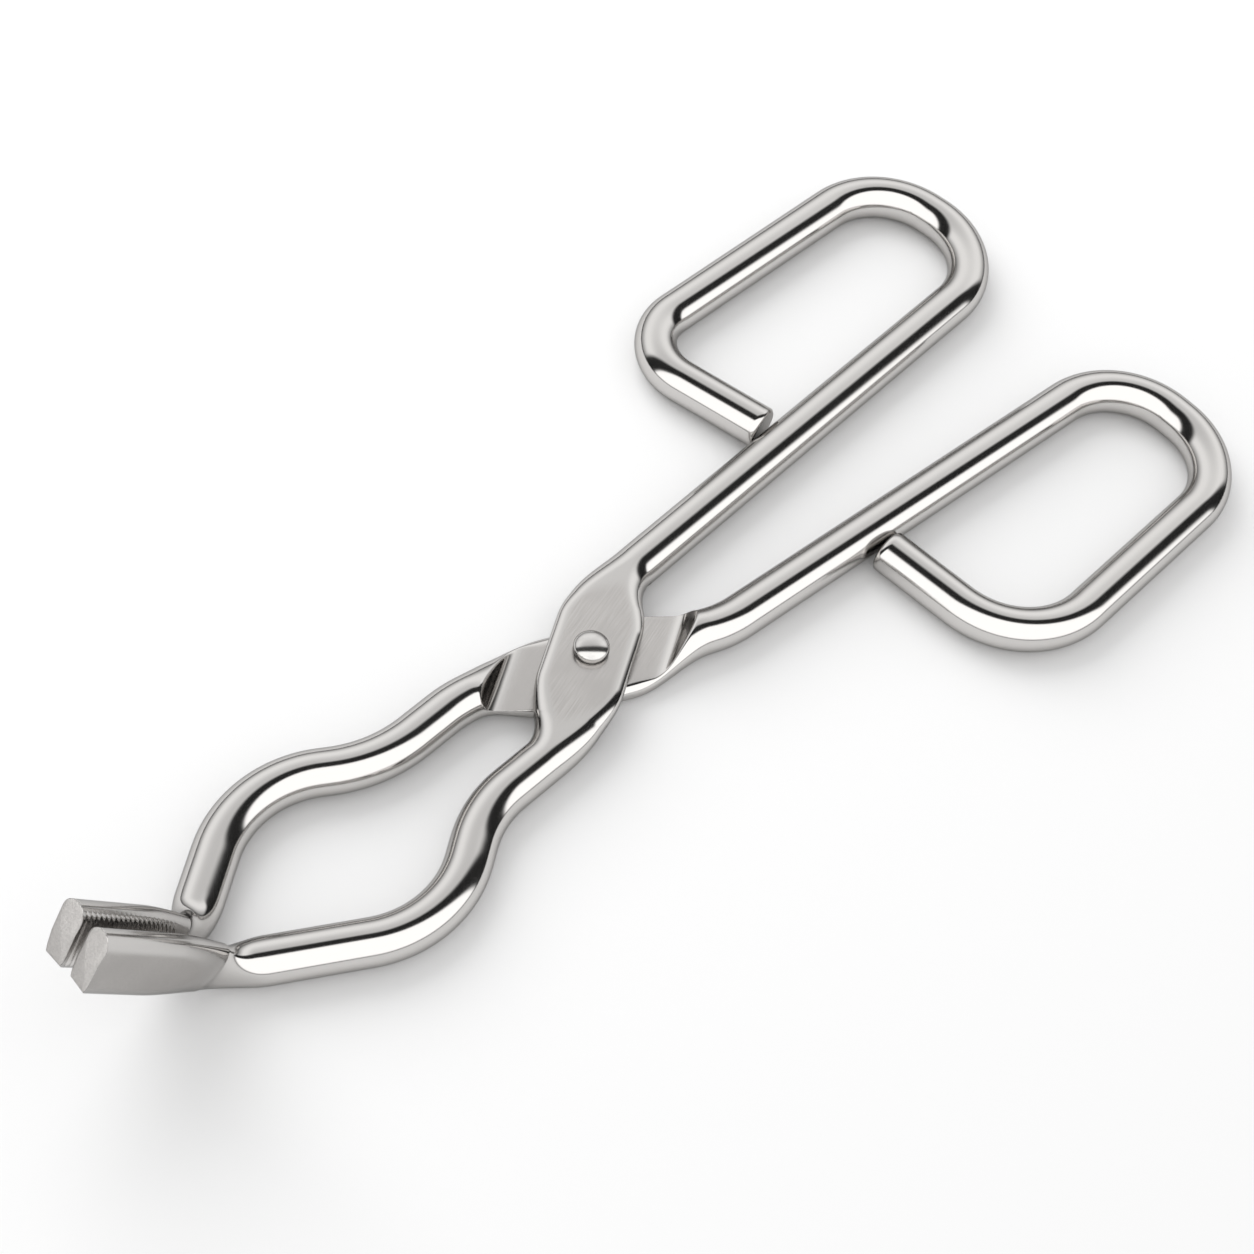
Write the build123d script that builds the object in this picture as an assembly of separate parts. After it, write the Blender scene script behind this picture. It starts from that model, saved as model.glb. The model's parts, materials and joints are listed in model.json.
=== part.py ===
from build123d import *
import os
from dataclasses import dataclass
from math import asin, copysign, cos, degrees, pi, radians, sin, tan

# Crucible tongs: two bent and forged steel rods that cross at one rivet.
# All sizes are in millimetres. The rivet's axis is the Z axis, the tongs lie on the
# plane z = 0, and +X runs from the rivet to the jaws, half way between the arms.

# Round rod. Both arms' rods lie in one plane, ROD_AXIS_Z above the table.
ROD_DIA = 8.0
ROD_RADIUS = ROD_DIA / 2
ROD_AXIS_Z = ROD_RADIUS

# Lap: where the arms cross, each is forged to half the rod's height
LAP_GAP = 0.15            # between the two laps
LAP_HALF_WIDTH = 7.5      # at its widest, half way up its side
LAP_CROWN = 0.5           # how far the forging swells past its flat faces before they are cut
LAP_FULL_REACH = 6.0      # full width up to here, each way from the rivet
LAP_REACH = 22.0          # round rod again from here
LAP_STATIONS = 4          # outlines of the forging in each taper between those reaches
LAP_POWER = 3.0           # squareness of those outlines
SHOULDER_REACH = 13.0     # the lap's floor, measured square across the other arm, ends here
SHOULDER_RAMP = 2.6       # length of the slope from there up to the rod's top
SHOULDER_FILLET = 3.0     # hollow at the foot of that slope

# Rivet
RIVET_DIA = 4.0
RIVET_CLEARANCE = 0.05    # round the shank, in the arm that turns on it
RIVET_HEAD_DIA = 6.2
RIVET_HEAD_SIDE = 1.3     # height of the head's upright side
RIVET_DOME_HEIGHT = 1.2
RIVET_HEAD_GAP = 0.05     # under the head
RIVET_TAIL_DIA = 6.0      # clenched into a countersink, flush with the lower lap
RIVET_TAIL_DEPTH = 1.0

# Handle loops
LOOP_RADIUS = 15.2        # both corners of the far end
LOOP_END_GAP = 0.2        # between the rod's cut end and the shaft that it butts against
LOOP_END_CHAMFER = 0.4

# Jaws
JAW_TIP_X = 104.1         # centre of the end face
JAW_TIP_RISE = 30.4       # of that centre, over the plane of the rods
JAW_GAP = 1.4             # between the tips at rest
JAW_THICKNESS = 4.2
JAW_HEIGHT = 11.6
JAW_CROWN = 0.5           # how far the forging swells past its flat sides before they are cut
JAW_POWER = 3.0           # squareness of its outline
JAW_BEND_RADIUS = 9.0
JAW_FORGE_LEAD = 2.0      # the forging starts this far before the bend
JAW_FORGE_LENGTH = 14.0   # from the bend to the full height
JAW_STATIONS = 12         # outlines of the forging from its lead to its end
JAW_END_LEAN = 27.0       # degrees that the end face leans back from upright
JAW_BEVEL_WIDTH = 1.3     # of the bevels round the end face
JAW_BEVEL_ANGLE = 40.0    # degrees from the end face

# Teeth: grooves across the jaws' inner faces, along the end face's lean
TOOTH_PITCH = 1.35
TOOTH_CREST = 0.25        # width of the flat left between two grooves
TOOTH_DEPTH = 0.45
TOOTH_COUNT = 20
TOOTH_MARGIN = 1.6        # plain face between the end and the first groove

SECTION_POINTS = 16       # on each forged outline
ROUND_POWER = 2.0         # of an outline that is an ellipse
FAR = 60.0                # reaches past whatever is cut


@dataclass
class Arm:
    """One arm from above, with its bow and jaw on its own +y side.

    Places are (x, y) corners of the rod's centre line, each rounded by its radius.
    """

    node: str
    jaw_side: int             # +1 if the arm's +y is +Y, -1 if it is -Y
    lap_side: int             # +1 if its lap is the upper one, -1 the lower
    lap_angle: float          # degrees between the lap and the X axis
    neck_reach: float         # from the rivet back to the bend into the shaft
    neck_radius: float
    shoulder_reach: float     # from the rivet on to the bend into the bow
    shoulder_radius: float
    throat: tuple             # inward bend before the bow
    throat_radius: float
    bow: tuple                # widest bend of the bow
    bow_radius: float
    jaw_root: tuple           # bend up into the jaw
    far_inner: tuple          # far end of the shaft
    far_outer: tuple          # far end of the loop's outer side
    near_corner: tuple        # corner where the loop turns back to the shaft
    near_radius: float
    loop_end_x: float         # where the turned-back end meets the shaft

    def at(self, xy, rise=0.0):
        """Point of the plan, at a height over the rods' plane."""
        return Vector(xy[0], self.jaw_side * xy[1], ROD_AXIS_Z + rise)

    def along_lap(self, reach):
        """Point of the lap's line, at a distance from the rivet towards the jaws."""
        angle = radians(self.lap_angle)
        return self.at((reach * cos(angle), reach * sin(angle)))


UPPER = Arm(
    "upper_arm", jaw_side=1, lap_side=1, lap_angle=31.2,
    neck_reach=17.0, neck_radius=24.0, shoulder_reach=17.8, shoulder_radius=16.0,
    throat=(32.9, 9.8), throat_radius=20.8, bow=(51.0, 22.2), bow_radius=20.0,
    jaw_root=(81.9, 4.5), far_inner=(-126.2, -15.7), far_outer=(-122.2, -46.6),
    near_corner=(-52.6, -46.6), near_radius=10.4, loop_end_x=-60.5,
)
LOWER = Arm(
    "lower_arm", jaw_side=-1, lap_side=-1, lap_angle=22.8,
    neck_reach=25.2, neck_radius=21.5, shoulder_reach=21.9, shoulder_radius=26.0,
    throat=(40.2, 7.7), throat_radius=26.0, bow=(59.6, 19.5), bow_radius=20.0,
    jaw_root=(83.4, 2.9), far_inner=(-123.0, -16.2), far_outer=(-122.6, -47.0),
    near_corner=(-59.7, -49.3), near_radius=16.7, loop_end_x=-56.9,
)


def ease(share):
    """0 to 1 with level ends."""
    share = min(max(share, 0.0), 1.0)
    return share * share * (3 - 2 * share)


def square_across(place, forward):
    """Plane square to a direction, with x level to its left and y upwards."""
    return Plane(origin=place, x_dir=Vector(0, 0, 1).cross(forward), z_dir=forward)


def outline(plane, half_width, half_height, rise, power):
    """Closed superellipse, lifted from the plane's centre by rise."""
    points = []
    for step in range(SECTION_POINTS):
        turn = 2 * pi * step / SECTION_POINTS
        x = copysign(abs(cos(turn)) ** (2 / power), cos(turn)) * half_width
        y = copysign(abs(sin(turn)) ** (2 / power), sin(turn)) * half_height
        points.append(plane.from_local_coords(Vector(x, y + rise, 0)))
    return Face(Wire(Spline(*points, periodic=True)))


def rod(line):
    """Round rod along a line."""
    return sweep(square_across(line @ 0, line % 0) * Circle(ROD_RADIUS), path=line)


def station(line, distance):
    """Plane square across a line, at a distance along it."""
    by_length = PositionMode.LENGTH
    return square_across(line.position_at(distance, by_length), line.tangent_at(distance, by_length))


def cutter(plane, x, y, z):
    """Block between pairs of limits along a plane's own axes."""
    size = (x[1] - x[0], y[1] - y[0], z[1] - z[0])
    centre = ((x[0] + x[1]) / 2, (y[0] + y[1]) / 2, (z[0] + z[1]) / 2)
    return plane * Pos(*centre) * Box(*size)


def loop_end(arm):
    """Where the rod's cut end stops, just short of the shaft that it butts against."""
    near, far_inner = arm.at(arm.near_corner), arm.at(arm.far_inner)
    shaft = (arm.along_lap(-arm.neck_reach) - far_inner).normalized()
    meet = far_inner + shaft * ((arm.loop_end_x - far_inner.X) / shaft.X)
    inwards = (meet - near).normalized()
    along_shaft = abs(inwards.dot(shaft))
    across_shaft = inwards.cross(shaft).length
    return meet - inwards * (ROD_RADIUS + LOOP_END_GAP + ROD_RADIUS * along_shaft) / across_shaft


def centre_line(arm):
    """Level line of the rod, from the loop's cut end to the bend into the jaw."""
    neck, shoulder = arm.along_lap(-arm.neck_reach), arm.along_lap(arm.shoulder_reach)
    loop = (loop_end(arm), arm.at(arm.near_corner), arm.at(arm.far_outer), arm.at(arm.far_inner))
    front = (arm.at(arm.throat), arm.at(arm.bow), jaw_line(arm) @ 0)
    loop_radii = [arm.near_radius, LOOP_RADIUS, LOOP_RADIUS]
    front_radii = [arm.neck_radius, arm.shoulder_radius, arm.throat_radius, arm.bow_radius]
    return FilletPolyline(*loop, neck, shoulder, *front, radius=loop_radii + front_radii)


def rivet_distance(arm, line):
    """How far along the centre line the rivet sits."""
    return line.length * line.param_at_point(arm.at((0, 0)))


def handle(arm):
    """Finger loop and shaft, up to the lap."""
    line = centre_line(arm)
    end = (rivet_distance(arm, line) - LAP_REACH) / line.length
    solid = rod(line.trim(0, end))
    cut_face = solid.faces().filter_by(GeomType.PLANE).sort_by_distance(line @ 0)[0]
    return chamfer(cut_face.edges(), LOOP_END_CHAMFER)


def bow(arm):
    """Round rod from the lap to the bend into the jaw."""
    line = centre_line(arm)
    start = (rivet_distance(arm, line) + LAP_REACH) / line.length
    return rod(line.trim(start, 1))


def lap_outline(arm, line, reach):
    """Outline of the forging, at a distance from the rivet towards the jaws."""
    swell = ease((LAP_REACH - abs(reach)) / (LAP_REACH - LAP_FULL_REACH))
    half_width = ROD_RADIUS + (LAP_HALF_WIDTH - ROD_RADIUS) * swell
    half_height = ROD_RADIUS + (LAP_CROWN - ROD_RADIUS / 2) * swell
    rise = arm.lap_side * ROD_RADIUS / 2 * swell
    power = ROUND_POWER + (LAP_POWER - ROUND_POWER) * swell
    return outline(station(line, rivet_distance(arm, line) + reach), half_width, half_height, rise, power)


def lap_blank(arm):
    """Forging over the crossing: wide in the middle, drawn down to round rod both ways."""
    line = centre_line(arm)
    solid = loft([lap_outline(arm, line, -LAP_FULL_REACH), lap_outline(arm, line, LAP_FULL_REACH)])
    step = (LAP_REACH - LAP_FULL_REACH) / LAP_STATIONS
    for side in (-1, 1):
        sections = [lap_outline(arm, line, side * (LAP_FULL_REACH + step * number))
                    for number in range(LAP_STATIONS)]
        sections.append(station(line, rivet_distance(arm, line) + side * LAP_REACH) * Circle(ROD_RADIUS))
        solid += loft(sections[::side])
    return solid


def lap(arm, other):
    """Forged lap with its flat faces, its shoulders and the seat between them."""
    seat_axis = (other.along_lap(1) - other.along_lap(0)).normalized()
    away = Plane(origin=arm.along_lap(0), x_dir=seat_axis, z_dir=(0, 0, -arm.lap_side))
    reach = (-LAP_REACH - ROD_DIA, LAP_REACH + ROD_DIA)
    solid = lap_blank(arm) - cutter(away, reach, reach, (-ROD_DIA, -ROD_RADIUS))
    floor, top = -LAP_GAP / 2, ROD_DIA
    wall = SHOULDER_REACH + SHOULDER_RAMP * (top - floor) / (ROD_RADIUS - floor)
    corners = ((-wall, top), (-SHOULDER_REACH, floor), (SHOULDER_REACH, floor), (wall, top))
    trough = FilletPolyline(*corners, radius=[SHOULDER_FILLET, SHOULDER_FILLET])
    seat = make_face([trough, Line(corners[3], corners[0])])
    across = Plane(origin=away.origin, x_dir=away.y_dir, z_dir=away.x_dir)
    return solid - extrude(across * seat, FAR / 2, both=True)


def tip(arm):
    """Centre of the jaw's end face."""
    return arm.at((JAW_TIP_X, (JAW_GAP + JAW_THICKNESS) / 2), JAW_TIP_RISE)


def jaw_line(arm):
    """Line of the forging: the lead, the bend and the jaw, run on past the end face."""
    root = arm.at(arm.jaw_root)
    back = (arm.at(arm.bow) - root).normalized()
    forward = (tip(arm) - root).normalized()
    start = root + back * (bend_reach(arm) + JAW_FORGE_LEAD)
    return FilletPolyline(start, root, tip(arm) + forward * JAW_HEIGHT, radius=[JAW_BEND_RADIUS])


def bend_turn(arm):
    """Angle in radians that the rod turns through into the jaw."""
    root = arm.at(arm.jaw_root)
    return radians((root - arm.at(arm.bow)).get_angle(tip(arm) - root))


def bend_reach(arm):
    """From the corner to each end of the bend."""
    return JAW_BEND_RADIUS * tan(bend_turn(arm) / 2)


def jaw_blank(arm):
    """Forged bend and jaw, from the round rod to a tall flat section."""
    line = jaw_line(arm)
    bend_end = JAW_FORGE_LEAD + JAW_BEND_RADIUS * bend_turn(arm)
    sections = [station(line, 0) * Circle(ROD_RADIUS)]
    for step in range(1, JAW_STATIONS + 1):
        distance = line.length * step / JAW_STATIONS
        pinch = ease(distance / bend_end)
        forged = ease(distance / (bend_end + JAW_FORGE_LENGTH))
        crown = JAW_CROWN * ease((distance - bend_end) / JAW_FORGE_LENGTH)
        half_width = ROD_RADIUS + (JAW_THICKNESS / 2 - ROD_RADIUS) * pinch + crown
        half_height = ROD_RADIUS + (JAW_HEIGHT / 2 - ROD_RADIUS) * forged
        power = ROUND_POWER + (JAW_POWER - ROUND_POWER) * pinch
        sections.append(outline(station(line, distance), half_width, half_height, 0, power))
    return loft(sections)


def jaw_frame(arm):
    """Plane at the tip square to the jaw: x to its left, y up its height, z along it."""
    return square_across(tip(arm), tip(arm) - arm.at(arm.jaw_root))


def end_frame(arm):
    """Plane of the jaw's end face: x to its left, y up the face, z out of it."""
    along = jaw_frame(arm)
    turn_down = degrees(asin(along.z_dir.Z)) - JAW_END_LEAN
    return Plane(origin=along.origin, x_dir=along.x_dir,
                 z_dir=along.z_dir.rotate(Axis((0, 0, 0), along.x_dir), turn_down))


def bevel(end, side, half_size):
    """What a bevel along one side of the end face takes off."""
    inner = end.from_local_coords(side * (half_size - JAW_BEVEL_WIDTH))
    outwards = end.from_local_coords(side) - end.origin
    angle = radians(JAW_BEVEL_ANGLE)
    face = Plane(origin=inner, z_dir=end.z_dir * cos(angle) + outwards * sin(angle))
    return cutter(face, (-FAR / 2, FAR / 2), (-FAR / 2, FAR / 2), (0, FAR / 4))


def grooves(arm):
    """The V grooves between the teeth, as prisms."""
    along, end = jaw_frame(arm), end_frame(arm)
    inwards = -arm.jaw_side
    half = (TOOTH_PITCH - TOOTH_CREST) / 2 * along.z_dir.dot(end.z_dir)
    mouth = half * (TOOTH_DEPTH + JAW_CROWN) / TOOTH_DEPTH
    prisms = []
    for number in range(TOOTH_COUNT):
        back = TOOTH_MARGIN + (number + 0.5) * TOOTH_PITCH
        place = along.from_local_coords(Vector(inwards * JAW_THICKNESS / 2, 0, -back))
        section = Plane(origin=place, x_dir=end.z_dir, z_dir=end.y_dir)
        vee = make_face(Polyline((-mouth, inwards * JAW_CROWN), (mouth, inwards * JAW_CROWN),
                                 (0, -inwards * TOOTH_DEPTH), close=True))
        prisms.append(extrude(section * vee, JAW_HEIGHT, both=True))
    return prisms


def jaw(arm):
    """Forged bend and jaw with its flat sides, bevelled end and teeth."""
    along, end = jaw_frame(arm), end_frame(arm)
    straight = (tip(arm) - arm.at(arm.jaw_root)).length - bend_reach(arm)
    side, past = JAW_THICKNESS / 2, JAW_HEIGHT
    solid = jaw_blank(arm)
    solid -= cutter(along, (side, ROD_DIA), (-past, past), (-straight, past))
    solid -= cutter(along, (-ROD_DIA, -side), (-past, past), (-straight, past))
    solid -= cutter(end, (-past, past), (-2 * past, 2 * past), (0, 2 * past))
    half_face = JAW_HEIGHT / 2 / along.z_dir.dot(end.z_dir)
    for direction, half_size in (((1, 0, 0), side), ((-1, 0, 0), side),
                                 ((0, 1, 0), half_face), ((0, -1, 0), half_face)):
        solid -= bevel(end, Vector(*direction), half_size)
    return solid - grooves(arm)


def rivet():
    """Round head over the upper lap, shank, and tail clenched flush under the lower one."""
    under_head = ROD_DIA + RIVET_HEAD_GAP
    side_top = under_head + RIVET_HEAD_SIDE
    outline_points = ((0, side_top + RIVET_DOME_HEIGHT), (0, 0), (RIVET_TAIL_DIA / 2, 0),
                      (RIVET_DIA / 2, RIVET_TAIL_DEPTH), (RIVET_DIA / 2, under_head),
                      (RIVET_HEAD_DIA / 2, under_head), (RIVET_HEAD_DIA / 2, side_top))
    sides = Polyline(*outline_points)
    dome = TangentArc(outline_points[0], outline_points[-1], tangent=(1, 0))
    return revolve(Plane.XZ * make_face([sides, dome]), Axis.Z)


def forged_arm(arm, other, hole):
    """One whole arm, as a single solid."""
    return handle(arm) + (lap(arm, other) - hole) + bow(arm) + jaw(arm)


pin = rivet()
running_hole = Pos(0, 0, ROD_RADIUS) * Cylinder(RIVET_DIA / 2 + RIVET_CLEARANCE, FAR)
pieces = {
    "rivet": pin,
    UPPER.node: forged_arm(UPPER, LOWER, running_hole),
    LOWER.node: forged_arm(LOWER, UPPER, pin),
}

os.makedirs("parts", exist_ok=True)
for node, piece in pieces.items():
    piece.label = node
    export_step(piece, f"parts/{node}.step")
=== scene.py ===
"""Crucible tongs: the finished surfaces of both forged arms and their rivet, and a studio round them."""

import json
import math
from dataclasses import dataclass

import bpy
import numpy as np
from mathutils import Matrix, Vector


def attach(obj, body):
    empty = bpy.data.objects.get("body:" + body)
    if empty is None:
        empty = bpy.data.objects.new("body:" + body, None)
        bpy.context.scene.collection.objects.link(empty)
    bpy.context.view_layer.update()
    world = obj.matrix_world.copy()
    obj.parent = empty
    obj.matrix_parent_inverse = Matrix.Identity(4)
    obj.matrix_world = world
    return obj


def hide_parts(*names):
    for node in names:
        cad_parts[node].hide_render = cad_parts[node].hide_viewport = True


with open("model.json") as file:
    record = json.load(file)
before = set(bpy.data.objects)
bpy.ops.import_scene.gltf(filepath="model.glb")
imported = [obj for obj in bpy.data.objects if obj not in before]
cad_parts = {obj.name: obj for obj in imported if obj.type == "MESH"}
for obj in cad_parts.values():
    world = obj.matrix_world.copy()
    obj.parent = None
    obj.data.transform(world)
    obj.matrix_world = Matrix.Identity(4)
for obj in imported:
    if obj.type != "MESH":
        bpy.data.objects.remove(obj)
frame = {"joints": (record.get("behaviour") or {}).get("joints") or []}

bl_info = {
    "name": "Crucible Tongs",
    "version": (1, 0, 0),
    "blender": (4, 5, 0),
    "location": "View3D > Sidebar > Tongs",
    "description": "Builds the polished arms and rivet of a pair of crucible tongs, and a studio for them",
    "category": "Object",
}

MM = 0.001

# Both rods' centre lines lie in one plane, half a rod over the table
PIVOT = np.array(frame["joints"][0]["pos_m"])

# How finely the surfaces are divided
ROUND_POINTS = 120          # round each section
ROD_STEP = 0.8 * MM         # along plain rod
LAP_STEP = 0.3 * MM         # along the forged lap
BEND_STEP = 0.4 * MM        # round the bend into the jaw
JAW_ROWS = 250              # along the toothed jaw
CAP_RINGS = 14              # over each end face
CAP_CROWDING = 1.5          # above 1 puts more of those rings near the jaw end's rim
RIVET_ROUND_POINTS = 96
RIVET_DOME_POINTS = 40

# Shape of the laps and their shoulders
LAP_FULL_REACH = 6.0 * MM
LAP_CROWN = 0.5 * MM
LAP_POWER = 3.0
SHOULDER_RAMP = 2.6 * MM
SHOULDER_FILLET = 3.0 * MM

# Shape of the jaws
JAW_CROWN = 0.5 * MM
JAW_POWER = 2.3
JAW_BEND_RADIUS = 9.0 * MM
JAW_FORGE_LEAD = 2.0 * MM
JAW_FORGE_LENGTH = 14.0 * MM
JAW_PLANE_RUN = 2.0 * MM        # over which the sides become flat
JAW_TIP = (104.1 * MM, 30.4 * MM)      # forward of the rivet, and up from the rods' plane
JAW_END_LEAN = math.radians(27.0)
JAW_END_BEVEL = 1.8 * MM        # across the end face's top and bottom
JAW_SIDE_BEVEL = 0.5 * MM       # down its sides
JAW_BEVEL_ANGLE = math.radians(40.0)
JAW_CREASE_TURN = 0.5           # radians that the end face's two crossing creases lie aside
JAW_CREASE_FALL = 0.18          # slope away from the upright crease
JAW_CROSS_FALL = 0.10           # slope away from the level one
TOOTH_CREST = 0.25 * MM
TOOTH_COUNT = 20
TOOTH_MARGIN = 1.6 * MM

# Loops
LOOP_RADIUS = 15.2 * MM
LOOP_END_GAP = 0.2 * MM
LOOP_END_CHAMFER = 0.4 * MM

# Rivet
RIVET_HEAD_SIDE = 1.0 * MM
RIVET_DOME_HEIGHT = 1.5 * MM
RIVET_HEAD_GAP = 0.05 * MM
RIVET_RIM = (0.186 * MM, 0.12 * MM)         # bevel under the head, inwards and up
RIVET_SHANK_DIAMETER = 3.72 * MM
RIVET_TAIL_DIAMETER = 6.0 * MM
RIVET_TAIL_EDGE = (0.12 * MM, 0.04 * MM)    # bevel round the tail, inwards and up
RIVET_TAIL_DEPTH = 2.0 * MM                 # from the tail's face to plain shank

EDGE_BLEND = 0.16 * MM      # softness of the edges between flats and rounded sides
LEAST_BLEND = 1e-6          # share of it that is left where there is no flat

# Where ground steel turns into polished steel
LAP_SATIN_DEPTH = 0.25 * MM     # depth of metal taken off, at which a lap is fully satin
JAW_SATIN_DEPTH = 0.2 * MM      # the same on a jaw
CUT_END_SATIN = 0.6             # how satin the loop's cut end is

# Patterns in the steel: how fine each one is before it is stretched, and how deep
DRAWN_WAVES = 6.0
CLOUD_WAVES = 90.0
SCRATCH_WAVES = 7000.0
GRIT_WAVES = 2600.0
WEAR_WAVES = 700.0
DRAWN_STRETCH = (0.03, 0.2, 1)  # along and round the bar
SCRATCH_STRETCH = (60, 1, 1)    # along the scratch
SCRATCH_TURN = (0, 0, 0.3)      # radians from the direction of the jaws
SCRATCH_DEPTH = 0.012 * MM
GRIT_DEPTH = 0.12 * MM
WEAR_DEPTH = 0.003 * MM

# The studio as the metal shows it: a near and a far pale wall, with a dark gap overhead between them.
# The two walls' edges are the parts of a direction that point to the wall, where it starts and where
# it is fully bright. The other pairs are the parts that point up.
FAR_WALL_AZIMUTH = math.radians(231.7)
NEAR_WALL_EDGE = (0.07, 0.17)
NEAR_WALL_LEVEL = 1.7
FAR_WALL_EDGE = (0.22, 0.34)
FAR_WALL_LEVEL = 0.42           # low down
FAR_WALL_RISE = 0.78            # brighter by this in its middle
FAR_WALL_MIDDLE = (0.05, 0.50)
FAR_WALL_FALL = 0.40            # darker again by this at its top
FAR_WALL_TOP = (0.60, 0.95)
HORIZON_LEVEL = 0.2             # share of both walls' light that is left at the table
HORIZON_EDGE = (0.03, 0.14)
GAP_LEVEL = 0.02

# The large soft lamp
KEY_AZIMUTH = math.radians(262.0)
KEY_ELEVATION = math.radians(40.0)
KEY_DISTANCE = 0.9
KEY_WIDTH = 0.8

SENSOR_WIDTH = 36.0             # in millimetres
CLIP_START = 0.01
FLOOR_HALF_WIDTH = 1.5


@dataclass
class Arm:
    """One arm from above, in millimetres, with its bow and jaw on its own +y side.

    Places are corners of the rod's centre line, each rounded by its radius.
    """

    node: str
    body: str
    jaw_side: int
    lap_side: int
    lap_angle: float
    neck_reach: float
    neck_radius: float
    shoulder_reach: float
    shoulder_radius: float
    throat: tuple
    throat_radius: float
    bow: tuple
    bow_radius: float
    jaw_root: tuple
    far_inner: tuple
    far_outer: tuple
    near_corner: tuple
    near_radius: float
    loop_end_x: float

    def at(self, xy, rise=0.0):
        """Point of the plan in metres, at a height over the rods' plane."""
        return PIVOT + np.array([xy[0] * MM, self.jaw_side * xy[1] * MM, rise])

    def along_lap(self, reach):
        """Point of the lap's line, at a distance in millimetres from the rivet towards the jaws."""
        angle = math.radians(self.lap_angle)
        return self.at((reach * math.cos(angle), reach * math.sin(angle)))


UPPER = Arm(
    "upper_arm", "upper", jaw_side=1, lap_side=1, lap_angle=31.2,
    neck_reach=17.0, neck_radius=24.0, shoulder_reach=17.8, shoulder_radius=16.0,
    throat=(32.9, 9.8), throat_radius=20.8, bow=(51.0, 22.2), bow_radius=20.0,
    jaw_root=(81.9, 4.5), far_inner=(-126.2, -15.7), far_outer=(-122.2, -46.6),
    near_corner=(-52.6, -46.6), near_radius=10.4, loop_end_x=-60.5,
)
LOWER = Arm(
    "lower_arm", "lower", jaw_side=-1, lap_side=-1, lap_angle=22.8,
    neck_reach=25.2, neck_radius=21.5, shoulder_reach=21.9, shoulder_radius=26.0,
    throat=(40.2, 7.7), throat_radius=26.0, bow=(59.6, 19.5), bow_radius=20.0,
    jaw_root=(83.4, 2.9), far_inner=(-123.0, -16.2), far_outer=(-122.6, -47.0),
    near_corner=(-59.7, -49.3), near_radius=16.7, loop_end_x=-56.9,
)


class TongsSizes(bpy.types.PropertyGroup):
    """Sizes of the steel that a user would change."""

    rod_diameter: bpy.props.FloatProperty(
        name="Rod diameter", description="Thickness of the round bar", default=8.0 * MM, unit="LENGTH")
    lap_half_width: bpy.props.FloatProperty(
        name="Lap half width", description="From the rivet to the lap's side",
        default=7.5 * MM, unit="LENGTH")
    lap_reach: bpy.props.FloatProperty(
        name="Lap reach", description="From the rivet to round bar", default=22.0 * MM, unit="LENGTH")
    lap_gap: bpy.props.FloatProperty(
        name="Lap gap", description="Between the two laps", default=0.15 * MM, unit="LENGTH")
    shoulder_reach: bpy.props.FloatProperty(
        name="Shoulder reach", description="Half width of the seat for the other arm",
        default=13.0 * MM, unit="LENGTH")
    jaw_gap: bpy.props.FloatProperty(
        name="Jaw gap", description="Between the tips at rest", default=1.4 * MM, unit="LENGTH")
    jaw_thickness: bpy.props.FloatProperty(
        name="Jaw thickness", description="Across the flat sides", default=4.2 * MM, unit="LENGTH")
    jaw_height: bpy.props.FloatProperty(
        name="Jaw height", description="Of the flattened jaw", default=11.6 * MM, unit="LENGTH")
    tooth_pitch: bpy.props.FloatProperty(
        name="Tooth pitch", description="From one groove to the next", default=1.35 * MM, unit="LENGTH")
    tooth_depth: bpy.props.FloatProperty(
        name="Tooth depth", description="Of each groove", default=0.45 * MM, unit="LENGTH")
    rivet_head: bpy.props.FloatProperty(
        name="Rivet head", description="Diameter of the rivet's head", default=6.2 * MM, unit="LENGTH")


class TongsFinish(bpy.types.PropertyGroup):
    """Colours and polish of the steel."""

    polished_colour: bpy.props.FloatVectorProperty(
        name="Polished steel", description="Colour of the mirror-polished bar", subtype="COLOR",
        size=3, default=(0.60, 0.585, 0.57), min=0.0, max=1.0)
    satin_colour: bpy.props.FloatVectorProperty(
        name="Satin steel", description="Colour of the ground flats", subtype="COLOR",
        size=3, default=(0.60, 0.58, 0.562), min=0.0, max=1.0)
    polished_roughness: bpy.props.FloatProperty(
        name="Polished roughness", description="Of the mirror-polished bar", default=0.09, min=0.0, max=1.0)
    satin_roughness: bpy.props.FloatProperty(
        name="Satin roughness", description="Of the ground flats", default=0.25, min=0.0, max=1.0)


class StudioSettings(bpy.types.PropertyGroup):
    """Where the camera stands, and how bright the studio is."""

    aim: bpy.props.FloatVectorProperty(
        name="Aim", description="Point that the camera looks at", subtype="XYZ", unit="LENGTH",
        size=3, default=(-10.06 * MM, -1.03 * MM, 4.0 * MM))
    distance: bpy.props.FloatProperty(
        name="Distance", description="From the camera to the aim", default=419.3 * MM, unit="LENGTH")
    azimuth: bpy.props.FloatProperty(
        name="Azimuth", description="Of the camera, turned from the jaws' direction",
        default=math.radians(36.95), unit="ROTATION")
    elevation: bpy.props.FloatProperty(
        name="Elevation", description="Of the camera over the table",
        default=math.radians(55.93), unit="ROTATION")
    roll: bpy.props.FloatProperty(
        name="Roll", description="Of the camera about its own line",
        default=math.radians(11.13), unit="ROTATION")
    lens: bpy.props.FloatProperty(
        name="Lens", description="Focal length in millimetres for a 36 mm frame", default=70.05)
    floor_colour: bpy.props.FloatVectorProperty(
        name="Floor", description="Colour of the plain floor", subtype="COLOR",
        size=3, default=(0.90, 0.90, 0.90), min=0.0, max=1.0)
    key_power: bpy.props.FloatProperty(
        name="Key lamp", description="Power of the large soft lamp in watts", default=4.6)
    fill: bpy.props.FloatProperty(
        name="Fill", description="Strength of the even light from all round", default=0.84)


def sizes():
    """The sizes held by the scene."""
    return bpy.context.scene.tongs_sizes


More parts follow.
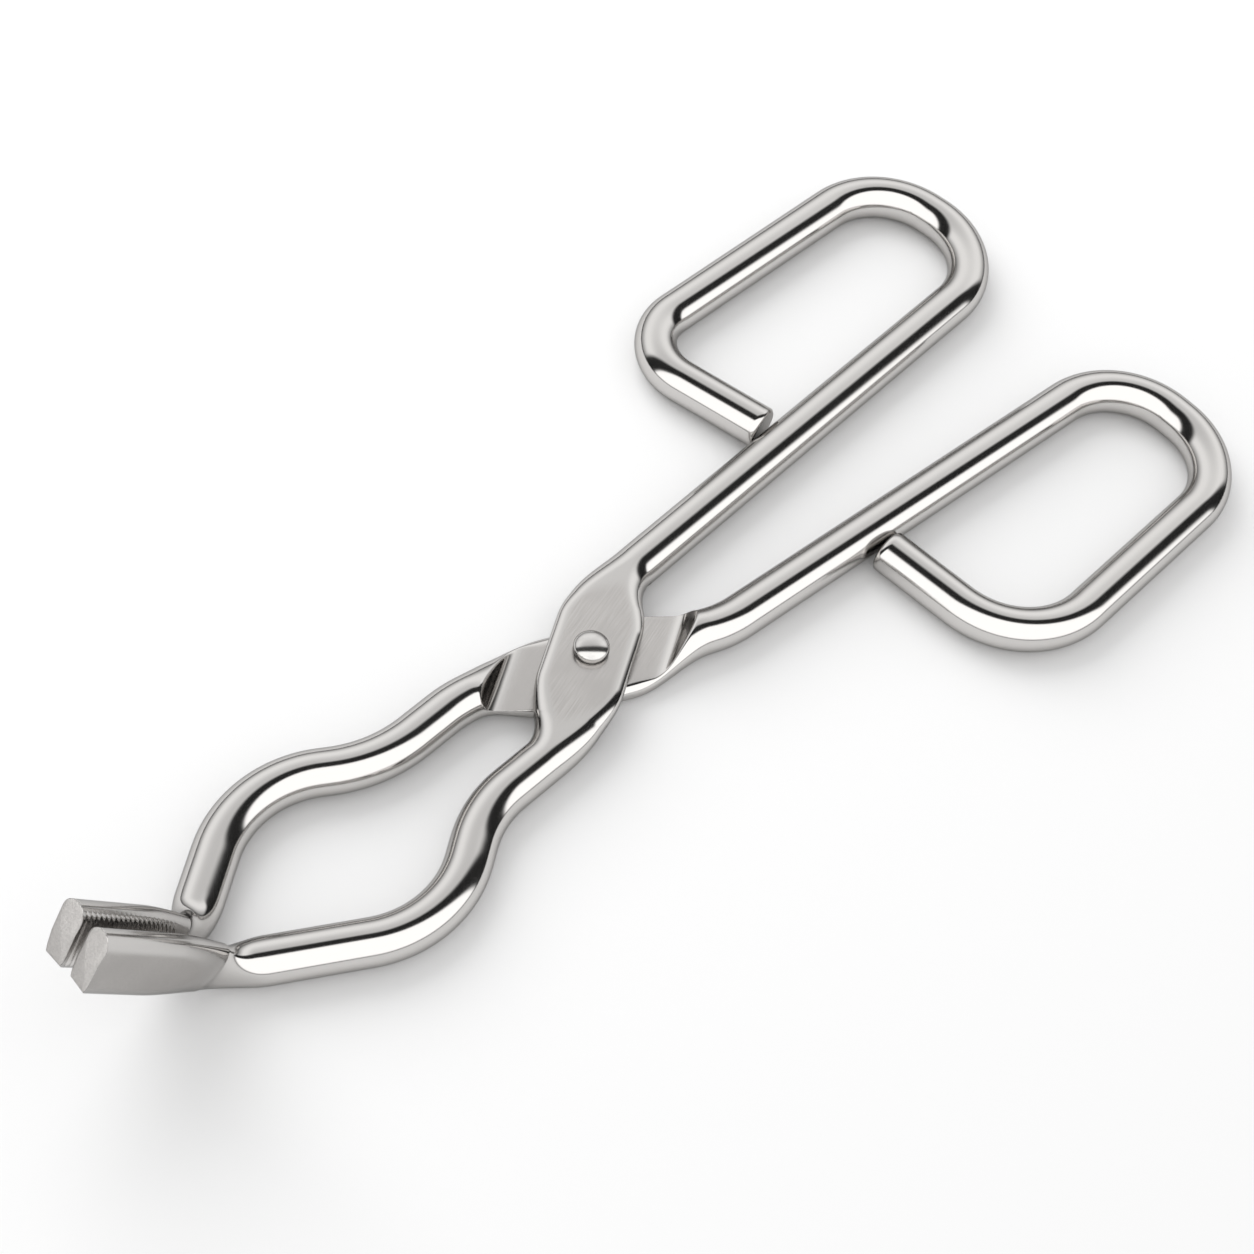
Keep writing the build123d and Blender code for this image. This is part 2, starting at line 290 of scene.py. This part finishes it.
def unit(vector):
    """Vectors scaled to length one."""
    vector = np.asarray(vector, float)
    return vector / np.linalg.norm(vector, axis=-1, keepdims=True)


def ease(share):
    """0 to 1 with level ends: 3 t squared minus 2 t cubed."""
    share = np.clip(share, 0.0, 1.0)
    return share * share * (3 - 2 * share)


def soft_min(one, other, blend):
    """The lower of two surfaces, their meeting edge rounded: (a + b - sqrt((a - b)^2 + blend^2)) / 2."""
    return (one + other - np.sqrt((one - other) ** 2 + blend ** 2)) / 2


class Route:
    """Straight runs joined by tangent arcs, one arc of its own radius at each inner corner."""

    def __init__(self, corners, radii):
        self.legs = []
        self.length = 0.0
        place = corners[0]
        for before, corner, after, radius in zip(corners, corners[1:], corners[2:], radii):
            ahead, onwards = unit(corner - before), unit(after - corner)
            turn = math.acos(np.clip(ahead @ onwards, -1, 1))
            reach = radius * math.tan(turn / 2)
            self.add(place, ahead, np.linalg.norm(corner - place) - reach)
            inwards = unit(onwards - ahead * math.cos(turn))
            self.add(corner - ahead * reach, ahead, radius * turn, inwards, radius)
            place = corner + onwards * reach
        self.add(place, unit(corners[-1] - place), np.linalg.norm(corners[-1] - place))

    def add(self, origin, ahead, length, inwards=None, radius=None):
        """One more leg, starting where the last one ends."""
        self.legs.append((self.length, length, origin, ahead, inwards, radius))
        self.length += length

    def sample(self, distance):
        """Places and directions at an array of distances.

        On an arc of radius r they are origin + r (sin t ahead + (1 - cos t) inwards), with t = run / r.
        """
        place = np.zeros(distance.shape + (3,))
        forward = np.zeros(distance.shape + (3,))
        for start, _, origin, ahead, inwards, radius in self.legs:
            on = distance >= start
            run = (distance[on] - start)[:, None]
            if radius is None:
                place[on] = origin + run * ahead
                forward[on] = ahead
            else:
                turn = run / radius
                place[on] = origin + radius * (np.sin(turn) * ahead + (1 - np.cos(turn)) * inwards)
                forward[on] = np.cos(turn) * ahead + np.sin(turn) * inwards
        return place, forward

    def distance_to(self, point):
        """Distance along the route to a point that lies on one of its straight runs."""
        best = None
        for start, length, origin, ahead, _, radius in self.legs:
            if radius is not None:
                continue
            run = np.clip((point - origin) @ ahead, 0, length)
            miss = np.linalg.norm(origin + run * ahead - point)
            if best is None or miss < best[0]:
                best = (miss, start + run)
        return best[1]


def tip(arm):
    """Centre of the jaw's end face."""
    aside = (sizes().jaw_gap + sizes().jaw_thickness) / 2 / MM
    return arm.at((JAW_TIP[0] / MM, aside), JAW_TIP[1])


def loop_end(arm):
    """Where the rod's cut end stops, just short of the shaft that it butts against."""
    radius = sizes().rod_diameter / 2
    near, far_inner = arm.at(arm.near_corner), arm.at(arm.far_inner)
    shaft = unit(arm.along_lap(-arm.neck_reach) - far_inner)
    meet = far_inner + shaft * ((arm.loop_end_x * MM - far_inner[0]) / shaft[0])
    inwards = unit(meet - near)
    across = np.linalg.norm(np.cross(inwards, shaft))
    return meet - inwards * (radius + LOOP_END_GAP + radius * abs(inwards @ shaft)) / across


def arm_route(arm):
    """The whole centre line, from the loop's cut end to past the jaw's end face."""
    root = arm.at(arm.jaw_root)
    beyond = tip(arm) + unit(tip(arm) - root) * sizes().jaw_height
    corners = [loop_end(arm), arm.at(arm.near_corner), arm.at(arm.far_outer), arm.at(arm.far_inner),
               arm.along_lap(-arm.neck_reach), arm.along_lap(arm.shoulder_reach),
               arm.at(arm.throat), arm.at(arm.bow), root, beyond]
    radii = [arm.near_radius * MM, LOOP_RADIUS, LOOP_RADIUS, arm.neck_radius * MM, arm.shoulder_radius * MM,
             arm.throat_radius * MM, arm.bow_radius * MM, JAW_BEND_RADIUS]
    return Route(corners, radii)


def superellipse(turn, half_width, half_height, power):
    """Outline |x / w|^p + |y / h|^p = 1, by the signed powers of cosine and sine."""
    across = np.sign(np.cos(turn)) * np.abs(np.cos(turn)) ** (2 / power) * half_width
    up = np.sign(np.sin(turn)) * np.abs(np.sin(turn)) ** (2 / power) * half_height
    return across, up


def seat_floor(offset):
    """Height of a lap's seat over its mid plane, by distance from the other arm's line.

    It is level, then a hollow arc, then a straight ramp, which drops away from the lap's own side.
    """
    level = sizes().lap_gap / 2
    drop = sizes().rod_diameter / 2 + level
    slope = math.atan2(drop, SHOULDER_RAMP)
    reach = SHOULDER_FILLET * math.tan(slope / 2)
    start = sizes().shoulder_reach - reach
    end = sizes().shoulder_reach + reach * math.cos(slope)
    out = np.abs(offset)
    into = np.clip(out - start, 0, end - start)
    arc = SHOULDER_FILLET - np.sqrt(np.maximum(SHOULDER_FILLET ** 2 - into ** 2, 0))
    ramp = np.maximum(out - end, 0) * math.tan(slope)
    return level - arc - ramp


class JawFrame:
    """Axes of one straight jaw: left, up its height, and along it, with zero at the end face's centre."""

    def __init__(self, arm):
        self.origin = tip(arm)
        self.along = unit(self.origin - arm.at(arm.jaw_root))
        self.left = unit(np.cross((0, 0, 1), self.along))
        self.up = np.cross(self.along, self.left)
        self.lean = math.asin(self.along[2]) - JAW_END_LEAN
        self.inwards = -arm.jaw_side

    def end_surface(self, x, y):
        """How far along the jaw its end lies, at x across and y up: the lowest of the face and four bevels.

        The face falls away evenly from two hammered creases that cross at its centre.
        """
        rise = math.tan(JAW_BEVEL_ANGLE)
        cosine, sine = math.cos(self.lean), math.sin(self.lean)
        side = sizes().jaw_thickness / 2 - JAW_SIDE_BEVEL
        top = sizes().jaw_height / 2 / cosine - JAW_END_BEVEL
        aside, aslant = math.cos(JAW_CREASE_TURN), math.sin(JAW_CREASE_TURN)
        hammered = JAW_CREASE_FALL * np.abs(x * aside + y * aslant)
        hammered = hammered + JAW_CROSS_FALL * np.abs(y * aside - x * aslant)
        face = y * math.tan(self.lean) - hammered
        sides = face - (np.abs(x) - side) * rise / cosine
        upper = (y * (sine - cosine * rise) + top * rise) / (cosine + sine * rise)
        lower = (y * (sine + cosine * rise) + top * rise) / (cosine - sine * rise)
        end = soft_min(face, sides, EDGE_BLEND)
        return soft_min(soft_min(end, upper, EDGE_BLEND), lower, EDGE_BLEND)

    def groove_depth(self, y, along):
        """V grooves that lean as the end face does, one to each pitch, with flat crests between them.

        The depth falls evenly from each groove's centre: depth times (1 - distance / half width).
        """
        pitch, depth = sizes().tooth_pitch, sizes().tooth_depth
        back = -(along - y * math.tan(self.lean)) - TOOTH_MARGIN
        inside = (back > 0) & (back < pitch * TOOTH_COUNT)
        from_centre = np.abs(np.mod(back, pitch) - pitch / 2)
        half = (pitch - TOOTH_CREST) / 2
        return np.where(inside, depth * np.clip(1 - from_centre / half, 0, 1), 0)


def arm_surface(arm, other):
    """Rings of one whole arm, from the cut end's centre to the jaw's end face, with finishes and lengths.

    Round rod swells into the lap and pinches into the jaw as superellipse outlines carried along the
    route. The lap is then levelled from above and below, and the jaw planed and grooved from its sides.
    """
    size = sizes()
    radius = size.rod_diameter / 2
    route = arm_route(arm)
    jaw = JawFrame(arm)
    rivet_at = route.distance_to(PIVOT)
    bend_start = route.legs[-2][0]
    bend_end = route.legs[-1][0]
    forge_start = bend_start - JAW_FORGE_LEAD
    straight = route.distance_to(jaw.origin) - bend_end
    turn = np.arange(ROUND_POINTS) * 2 * math.pi / ROUND_POINTS

    def outline(distance):
        """Half width, half height, lift and squareness of the section at a distance."""
        swell = ease((size.lap_reach - np.abs(distance - rivet_at)) / (size.lap_reach - LAP_FULL_REACH))
        forge = distance - forge_start
        bend = bend_end - forge_start
        pinch = ease(forge / bend)
        grown = ease(forge / (bend + JAW_FORGE_LENGTH))
        crown = JAW_CROWN * ease((forge - bend) / JAW_FORGE_LENGTH)
        half_width = radius + (size.lap_half_width - radius) * swell
        half_width = half_width + (size.jaw_thickness / 2 - radius) * pinch + crown
        half_height = radius + (LAP_CROWN - radius / 2) * swell + (size.jaw_height / 2 - radius) * grown
        power = 2 + (LAP_POWER - 2) * swell + (JAW_POWER - 2) * pinch
        return half_width, half_height, arm.lap_side * radius / 2 * swell, power, swell

    # Distances along the route of each row, the jaw's rows sheared to end on its end face
    handle = np.arange(LOOP_END_CHAMFER, rivet_at - size.lap_reach, ROD_STEP)
    lap = np.arange(rivet_at - size.lap_reach, rivet_at + size.lap_reach, LAP_STEP)
    bow = np.arange(rivet_at + size.lap_reach, forge_start, ROD_STEP)
    bend = np.arange(forge_start, bend_end, BEND_STEP)
    rows = np.concatenate([handle, lap, bow, bend])[:, None] + np.zeros_like(turn)
    full_width, full_height, _, full_power, _ = outline(np.array(bend_end + straight))
    end_x, end_y = superellipse(turn, full_width, full_height, full_power)
    end_x = np.clip(end_x, -size.jaw_thickness / 2, size.jaw_thickness / 2)
    run = straight + jaw.end_surface(end_x, end_y)
    rows = np.concatenate([rows, bend_end + np.linspace(0, 1, JAW_ROWS)[:, None] * run])

    half_width, half_height, rise, power, swell = outline(rows)
    across, up = superellipse(turn, half_width, half_height, power)
    up = up + rise

    # Level flats and the seat of the lap, worked in heights over the rods' plane
    centre, forward = route.sample(rows)
    left = unit(np.cross((0, 0, 1), forward))
    raised = np.cross(forward, left)
    place = centre + across[..., None] * left
    seat_line = unit(other.along_lap(1) - other.along_lap(0))
    offset = np.cross(seat_line, place - PIVOT)[..., 2]
    in_lap = swell > 0
    blend = EDGE_BLEND * np.maximum(swell, LEAST_BLEND)
    outer = soft_min(up * arm.lap_side, radius, blend)
    seated = -soft_min(-outer, -seat_floor(offset), blend)
    levelled = np.where(in_lap, seated * arm.lap_side, up)
    flat_seat = 1 - ease((np.abs(offset) - size.shoulder_reach + SHOULDER_FILLET) / SHOULDER_FILLET)
    off_seat = (seat_floor(offset) - up * arm.lap_side) * (flat_seat > 0.5)
    taken_off = np.maximum(up * arm.lap_side - radius, off_seat)
    satin = np.where(in_lap, ease(taken_off / LAP_SATIN_DEPTH) * flat_seat, 0)

    # Flat sides and teeth of the jaw, worked across its own axes
    on_jaw = rows >= bend_end
    along = rows - bend_end - straight
    planed = ease((rows - bend_end) / JAW_PLANE_RUN)
    edge = EDGE_BLEND * np.maximum(planed, LEAST_BLEND)
    outside = soft_min(-across * jaw.inwards, size.jaw_thickness / 2, edge)
    inner_limit = size.jaw_thickness / 2 - jaw.groove_depth(up, along)
    inside = soft_min(-outside, inner_limit, edge)
    taken_off = np.abs(across) - size.jaw_thickness / 2
    satin = np.where(on_jaw, ease(taken_off / JAW_SATIN_DEPTH), satin)
    across = np.where(on_jaw, inside * jaw.inwards, across)
    points = centre + across[..., None] * left + levelled[..., None] * raised

    # Cut end of the loop: a chamfer, then rings in to the centre
    start, start_forward = route.sample(np.zeros(1))
    start_left = unit(np.cross((0, 0, 1), start_forward))
    shrink = np.linspace(0, 1, CAP_RINGS)[:, None] * (radius - LOOP_END_CHAMFER)
    first = start + (shrink * np.cos(turn))[..., None] * start_left
    first = first + (shrink * np.sin(turn))[..., None] * np.cross(start_forward, start_left)

    # End face of the jaw: the last outline drawn in to its centre over the face and its bevels
    share = 1 - np.linspace(0, 1, CAP_RINGS + 1)[1:, None] ** CAP_CROWDING
    last_x, last_y = share * inside[-1] * jaw.inwards, share * levelled[-1]
    last = jaw.origin + last_x[..., None] * jaw.left + last_y[..., None] * jaw.up
    last = last + jaw.end_surface(last_x, last_y)[..., None] * jaw.along

    none = np.zeros_like(last_x)
    rings = np.concatenate([first, points, last])
    satin = np.concatenate([none + CUT_END_SATIN, satin, none])
    rough = np.zeros_like(satin)
    rough[-CAP_RINGS:] = 1
    lengths = np.concatenate([none, rows, rows[-1:] + none])
    return rings, {"satin": satin, "rough": rough}, lengths


def closed_mesh(name, rings, attributes, lengths):
    """A closed surface from rings of points, whose first and last rings are single points.

    Quads join each ring to the next and triangles close both poles, all facing outwards.
    """
    count, around = rings.shape[:2]
    body = rings[1:-1].reshape(-1, 3)
    points = np.concatenate([rings[0, :1], body, rings[-1, :1]])
    row = 1 + np.arange(count - 2)[:, None] * around
    column = np.arange(around)
    after = (column + 1) % around
    low, high = row[:-1], row[1:]
    quads = np.stack([low + column, low + after, high + after, high + column], -1).reshape(-1, 4)
    first = np.stack([np.zeros(around, int), 1 + after, 1 + column], -1)
    top = len(points) - 1
    last = np.stack([np.full(around, top), row[-1] + column, row[-1] + after], -1)
    mesh = bpy.data.meshes.new(name)
    mesh.from_pydata(points.tolist(), [], first.tolist() + quads.tolist() + last.tolist())
    mesh.polygons.foreach_set("use_smooth", np.ones(len(mesh.polygons), bool))

    def per_point(values):
        """Grid values in the order of the mesh's points."""
        return np.concatenate([values[0, :1], values[1:-1].ravel(), values[-1, :1]]).astype(np.float32)

    for key, values in attributes.items():
        layer = mesh.attributes.new(key, "FLOAT", "POINT")
        layer.data.foreach_set("value", per_point(values))
    corner = np.zeros(len(mesh.loops), np.int32)
    mesh.loops.foreach_get("vertex_index", corner)
    girth = np.broadcast_to(column / around, rings.shape[:2])
    uv = np.stack([per_point(lengths)[corner], per_point(girth)[corner]], -1)
    mesh.uv_layers.new(name="along").data.foreach_set("uv", uv.astype(np.float32).ravel())
    mesh.validate()
    piece = bpy.data.objects.new(name, mesh)
    bpy.context.scene.collection.objects.link(piece)
    return piece


class Value:
    """One socket of a shader, on which plain arithmetic adds Math nodes."""

    def __init__(self, shader, socket):
        self.shader = shader
        self.socket = socket

    def math(self, operation, *others):
        """A Math node on this value and others."""
        return self.shader.node("ShaderNodeMath", {"operation": operation}, [self, *others])

    def __add__(self, other):
        return self.math("ADD", other)

    def __radd__(self, other):
        return self.math("ADD", other)

    def __sub__(self, other):
        return self.math("SUBTRACT", other)

    def __rsub__(self, other):
        return self.shader.node("ShaderNodeMath", {"operation": "SUBTRACT"}, [other, self])

    def __mul__(self, other):
        return self.math("MULTIPLY", other)

    def __rmul__(self, other):
        return self.math("MULTIPLY", other)

    def __neg__(self):
        return self.math("MULTIPLY", -1.0)

    def smooth(self, low, high):
        """0 below low and 1 above high, with level ends."""
        settings = {"interpolation_type": "SMOOTHSTEP"}
        inputs = {"Value": self, "From Min": low, "From Max": high}
        return self.shader.node("ShaderNodeMapRange", settings, inputs)


class Shader:
    """A node tree that is written as expressions."""

    def __init__(self, tree):
        self.tree = tree
        tree.nodes.clear()

    def node(self, kind, settings=None, inputs=(), output=0):
        """Adds a node, sets it up, fills or links its inputs and returns one of its outputs."""
        made = self.tree.nodes.new(kind)
        for key, value in (settings or {}).items():
            setattr(made, key, value)
        pairs = inputs.items() if isinstance(inputs, dict) else enumerate(inputs)
        for key, value in pairs:
            if isinstance(value, Value):
                self.tree.links.new(value.socket, made.inputs[key])
            else:
                made.inputs[key].default_value = value
        return Value(self, made.outputs[output]) if made.outputs else made

    def attribute(self, name):
        """A number stored on the mesh."""
        return self.node("ShaderNodeAttribute", {"attribute_name": name}, output="Fac")

    def place(self, turn=(0, 0, 0), stretch=(1, 1, 1), output="Object"):
        """Object or UV coordinates, with what is drawn on them turned and stretched."""
        source = self.node("ShaderNodeTexCoord", output=output)
        values = {"Vector": source, "Rotation": turn, "Scale": stretch}
        return self.node("ShaderNodeMapping", {"vector_type": "TEXTURE"}, values)

    def noise(self, vector, waves, detail=2.0, roughness=0.5):
        """Soft noise from 0 to 1."""
        values = {"Vector": vector, "Scale": waves, "Detail": detail, "Roughness": roughness}
        return self.node("ShaderNodeTexNoise", inputs=values)

    def mix_colour(self, share, one, other):
        """Colour between two, by share."""
        values = {0: share, 6: one, 7: other}
        return self.node("ShaderNodeMix", {"data_type": "RGBA"}, values, output=2)

    def bump(self, height, distance, under=None):
        """Normals of a height field, over those of another bump."""
        values = {"Height": height, "Distance": distance, "Strength": 1.0}
        if under is not None:
            values["Normal"] = under
        return self.node("ShaderNodeBump", inputs=values)


def new_material(name):
    """An empty node material and its shader."""
    material = bpy.data.materials.new(name)
    material.use_nodes = True
    return material, Shader(material.node_tree)


def finish_material(shader, colour, roughness, normal):
    """Metal surface from what varies over it."""
    values = {"Base Color": colour, "Metallic": 1.0, "Roughness": roughness, "Normal": normal,
              "Specular Tint": (0.5, 0.5, 0.5, 1.0)}
    surface = shader.node("ShaderNodeBsdfPrincipled", inputs=values)
    shader.node("ShaderNodeOutputMaterial", inputs={"Surface": surface})


def darker(colour, share):
    """A colour at a share of its brightness, with full alpha."""
    return tuple(share * channel for channel in colour) + (1.0,)


def arm_steel():
    """Mirror-polished bar whose forged flats are ground satin and whose jaw ends are rough."""
    finish = bpy.context.scene.tongs_finish
    material, shader = new_material("arm_steel")
    satin, rough = shader.attribute("satin"), shader.attribute("rough")
    drawn = shader.noise(shader.place(stretch=DRAWN_STRETCH, output="UV"), DRAWN_WAVES, 3.0)
    clouds = shader.noise(shader.place(), CLOUD_WAVES, 3.0)
    scratched = shader.place(turn=SCRATCH_TURN, stretch=SCRATCH_STRETCH)
    scratches = shader.noise(scratched, SCRATCH_WAVES, 3.0, 0.6)
    grit = shader.noise(shader.place(), GRIT_WAVES, 5.0, 0.7)

    polished = (*finish.polished_colour, 1.0)
    ground = (*finish.satin_colour, 1.0)
    worn = darker(finish.satin_colour, 0.86)
    scored = darker(finish.satin_colour, 0.88)
    flat_colour = shader.mix_colour(clouds.smooth(0.3, 0.7), ground, worn)
    flat_colour = shader.mix_colour(scratches.smooth(0.40, 0.62), flat_colour, scored)
    torn_colour = shader.mix_colour(grit.smooth(0.4, 0.6), scored, ground)
    colour = shader.mix_colour(satin, polished, flat_colour)
    colour = shader.mix_colour(rough, colour, torn_colour)

    mirror = finish.polished_roughness + 0.05 * drawn
    brushed = finish.satin_roughness + 0.10 * (scratches - 0.5)
    torn = 0.34 + 0.3 * (grit - 0.5)
    plain = 1 - satin - rough
    roughness = mirror * plain.smooth(0.0, 1.0) + brushed * satin + torn * rough

    lines = shader.bump(scratches * satin, SCRATCH_DEPTH)
    pits = shader.bump(grit * rough, GRIT_DEPTH, lines)
    finish_material(shader, colour, roughness, pits)
    return material


def rivet_steel():
    """Polished rivet with a little wear."""
    finish = bpy.context.scene.tongs_finish
    material, shader = new_material("rivet_steel")
    wear = shader.noise(shader.place(), WEAR_WAVES, 3.0)
    polished = (*finish.polished_colour, 1.0)
    worn = darker(finish.polished_colour, 0.9)
    colour = shader.mix_colour(wear.smooth(0.45, 0.75), polished, worn)
    roughness = finish.polished_roughness + 0.06 + 0.06 * wear
    finish_material(shader, colour, roughness, shader.bump(wear, WEAR_DEPTH))
    return material


def make_arm(arm, other):
    """One finished arm in place of its solid."""
    rings, attributes, lengths = arm_surface(arm, other)
    piece = closed_mesh(arm.node + "_surface", rings, attributes, lengths)
    piece.data.materials.append(arm_steel())
    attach(piece, arm.body)
    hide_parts(arm.node)


def make_rivet():
    """The rivet as a turned profile: tapered tail, shank, upright side and half an ellipse for the head."""
    head, tail, shank = sizes().rivet_head / 2, RIVET_TAIL_DIAMETER / 2, RIVET_SHANK_DIAMETER / 2
    low = 2 * PIVOT[2] + RIVET_HEAD_GAP
    side_top = low + RIVET_HEAD_SIDE
    foot = [(0, 0), (tail - RIVET_TAIL_EDGE[0], 0), (tail, RIVET_TAIL_EDGE[1]), (shank, RIVET_TAIL_DEPTH),
            (shank, low), (head - RIVET_RIM[0], low), (head, low + RIVET_RIM[1])]
    turn_up = np.linspace(0, math.pi / 2, RIVET_DOME_POINTS)
    dome = np.stack([head * np.cos(turn_up), side_top + RIVET_DOME_HEIGHT * np.sin(turn_up)], -1)
    out, up = np.concatenate([foot, dome]).T[..., None]
    turn = np.linspace(0, 2 * math.pi, RIVET_ROUND_POINTS, endpoint=False)
    rings = np.stack([out * np.cos(turn) + PIVOT[0], out * np.sin(turn) + PIVOT[1], up + 0 * turn], -1)
    piece = closed_mesh("rivet_surface", rings, {}, rings[..., 2])
    piece.data.materials.append(rivet_steel())
    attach(piece, "lower")
    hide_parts("rivet")


def make_floor(settings):
    """Plain pale floor, on which the tongs' shadow falls."""
    half = FLOOR_HALF_WIDTH
    mesh = bpy.data.meshes.new("floor")
    corners = [(-half, -half, 0), (half, -half, 0), (half, half, 0), (-half, half, 0)]
    mesh.from_pydata(corners, [], [(0, 1, 2, 3)])
    floor = bpy.data.objects.new("floor", mesh)
    bpy.context.scene.collection.objects.link(floor)
    material, shader = new_material("pale_floor")
    surface = shader.node("ShaderNodeBsdfDiffuse", inputs={"Color": (*settings.floor_colour, 1.0)})
    shader.node("ShaderNodeOutputMaterial", inputs={"Surface": surface})
    mesh.materials.append(material)


def make_world(settings):
    """White to the camera, pale walls with a dark gap to mirrors, and even light to the rest."""
    world = bpy.data.worlds.new("studio")
    bpy.context.scene.world = world
    world.use_nodes = True
    shader = Shader(world.node_tree)
    direction = shader.node("ShaderNodeTexCoord", output="Generated")
    far_wall = (math.cos(FAR_WALL_AZIMUTH), math.sin(FAR_WALL_AZIMUTH), 0.0)
    side = shader.node("ShaderNodeVectorMath", {"operation": "DOT_PRODUCT"}, [direction, far_wall], "Value")
    height = shader.node("ShaderNodeSeparateXYZ", inputs=[direction], output="Z")
    near = (-side).smooth(*NEAR_WALL_EDGE)
    far = side.smooth(*FAR_WALL_EDGE)
    far_level = FAR_WALL_LEVEL + FAR_WALL_RISE * height.smooth(*FAR_WALL_MIDDLE)
    far_level = far_level - FAR_WALL_FALL * height.smooth(*FAR_WALL_TOP)
    horizon = HORIZON_LEVEL + (1 - HORIZON_LEVEL) * height.smooth(*HORIZON_EDGE)
    reflected = GAP_LEVEL + (NEAR_WALL_LEVEL * near + far_level * far) * horizon
    path = shader.node("ShaderNodeLightPath", output="Is Camera Ray")
    glossy = shader.node("ShaderNodeLightPath", output="Is Glossy Ray")
    strength = path + glossy * reflected + (1 - path) * (1 - glossy) * settings.fill
    background = shader.node("ShaderNodeBackground", inputs={"Color": (1, 1, 1, 1), "Strength": strength})
    shader.node("ShaderNodeOutputWorld", inputs={"Surface": background})


def sight_line(azimuth, elevation):
    """Direction from the tongs, by its angle from the jaws' direction and its angle over the table."""
    level = math.cos(elevation)
    return Vector((level * math.cos(azimuth), level * math.sin(azimuth), math.sin(elevation)))


def make_lamp(settings):
    """Large square soft lamp that faces the tongs, and that the steel doesn't mirror."""
    lamp = bpy.data.lights.new("key_lamp", "AREA")
    lamp.size = KEY_WIDTH
    lamp.energy = settings.key_power
    away = sight_line(KEY_AZIMUTH, KEY_ELEVATION)
    stand = bpy.data.objects.new("key_lamp", lamp)
    stand.location = away * KEY_DISTANCE
    stand.rotation_euler = away.to_track_quat("Z", "Y").to_euler()
    stand.visible_glossy = False
    bpy.context.scene.collection.objects.link(stand)


def make_camera(settings):
    """Camera at the photograph's viewing angle."""
    data = bpy.data.cameras.new("camera")
    data.sensor_width = SENSOR_WIDTH
    data.lens = settings.lens
    data.clip_start = CLIP_START
    camera = bpy.data.objects.new("camera", data)
    away = sight_line(settings.azimuth, settings.elevation)
    level = Vector((-math.sin(settings.azimuth), math.cos(settings.azimuth), 0))
    turned = Matrix.Rotation(settings.roll, 3, "Z")
    axes = Matrix((level, away.cross(level), away)).transposed() @ turned
    camera.rotation_euler = axes.to_euler()
    camera.location = Vector(settings.aim) + away * settings.distance
    bpy.context.scene.collection.objects.link(camera)
    bpy.context.scene.camera = camera


class TONGS_OT_upper_arm(bpy.types.Operator):
    """Build the upper arm's finished surface"""

    bl_idname = "tongs.upper_arm"
    bl_label = "Upper Arm"

    def execute(self, context):
        make_arm(UPPER, LOWER)
        return {"FINISHED"}


class TONGS_OT_lower_arm(bpy.types.Operator):
    """Build the lower arm's finished surface"""

    bl_idname = "tongs.lower_arm"
    bl_label = "Lower Arm"

    def execute(self, context):
        make_arm(LOWER, UPPER)
        return {"FINISHED"}


class TONGS_OT_rivet(bpy.types.Operator):
    """Build the rivet's finished surface"""

    bl_idname = "tongs.rivet"
    bl_label = "Rivet"

    def execute(self, context):
        make_rivet()
        return {"FINISHED"}


class TONGS_OT_stage(bpy.types.Operator):
    """Set up the floor, the light and the camera"""

    bl_idname = "tongs.stage"
    bl_label = "Stage"

    def execute(self, context):
        settings = context.scene.tongs_studio
        make_floor(settings)
        make_world(settings)
        make_lamp(settings)
        make_camera(settings)
        context.scene.view_settings.view_transform = "Standard"
        return {"FINISHED"}


class TONGS_PT_panel(bpy.types.Panel):
    """Sizes, finish and studio of the tongs"""

    bl_idname = "TONGS_PT_panel"
    bl_label = "Crucible Tongs"
    bl_space_type = "VIEW_3D"
    bl_region_type = "UI"
    bl_category = "Tongs"

    def draw(self, context):
        for group in (context.scene.tongs_sizes, context.scene.tongs_finish, context.scene.tongs_studio):
            box = self.layout.box()
            for key in group.__annotations__:
                box.prop(group, key)
        for operator in OPERATORS:
            self.layout.operator(operator.bl_idname)


OPERATORS = (TONGS_OT_upper_arm, TONGS_OT_lower_arm, TONGS_OT_rivet, TONGS_OT_stage)
CLASSES = (TongsSizes, TongsFinish, StudioSettings, *OPERATORS, TONGS_PT_panel)


def register():
    """Makes the operators, the panel and the settings known."""
    for each in CLASSES:
        bpy.utils.register_class(each)
    bpy.types.Scene.tongs_sizes = bpy.props.PointerProperty(type=TongsSizes)
    bpy.types.Scene.tongs_finish = bpy.props.PointerProperty(type=TongsFinish)
    bpy.types.Scene.tongs_studio = bpy.props.PointerProperty(type=StudioSettings)


def unregister():
    """Takes them away again."""
    del bpy.types.Scene.tongs_sizes
    del bpy.types.Scene.tongs_finish
    del bpy.types.Scene.tongs_studio
    for each in reversed(CLASSES):
        bpy.utils.unregister_class(each)


def main():
    """Builds every piece and the stage."""
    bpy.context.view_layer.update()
    register()
    bpy.ops.tongs.upper_arm()
    bpy.ops.tongs.lower_arm()
    bpy.ops.tongs.rivet()
    bpy.ops.tongs.stage()


if __name__ == "__main__":
    main()
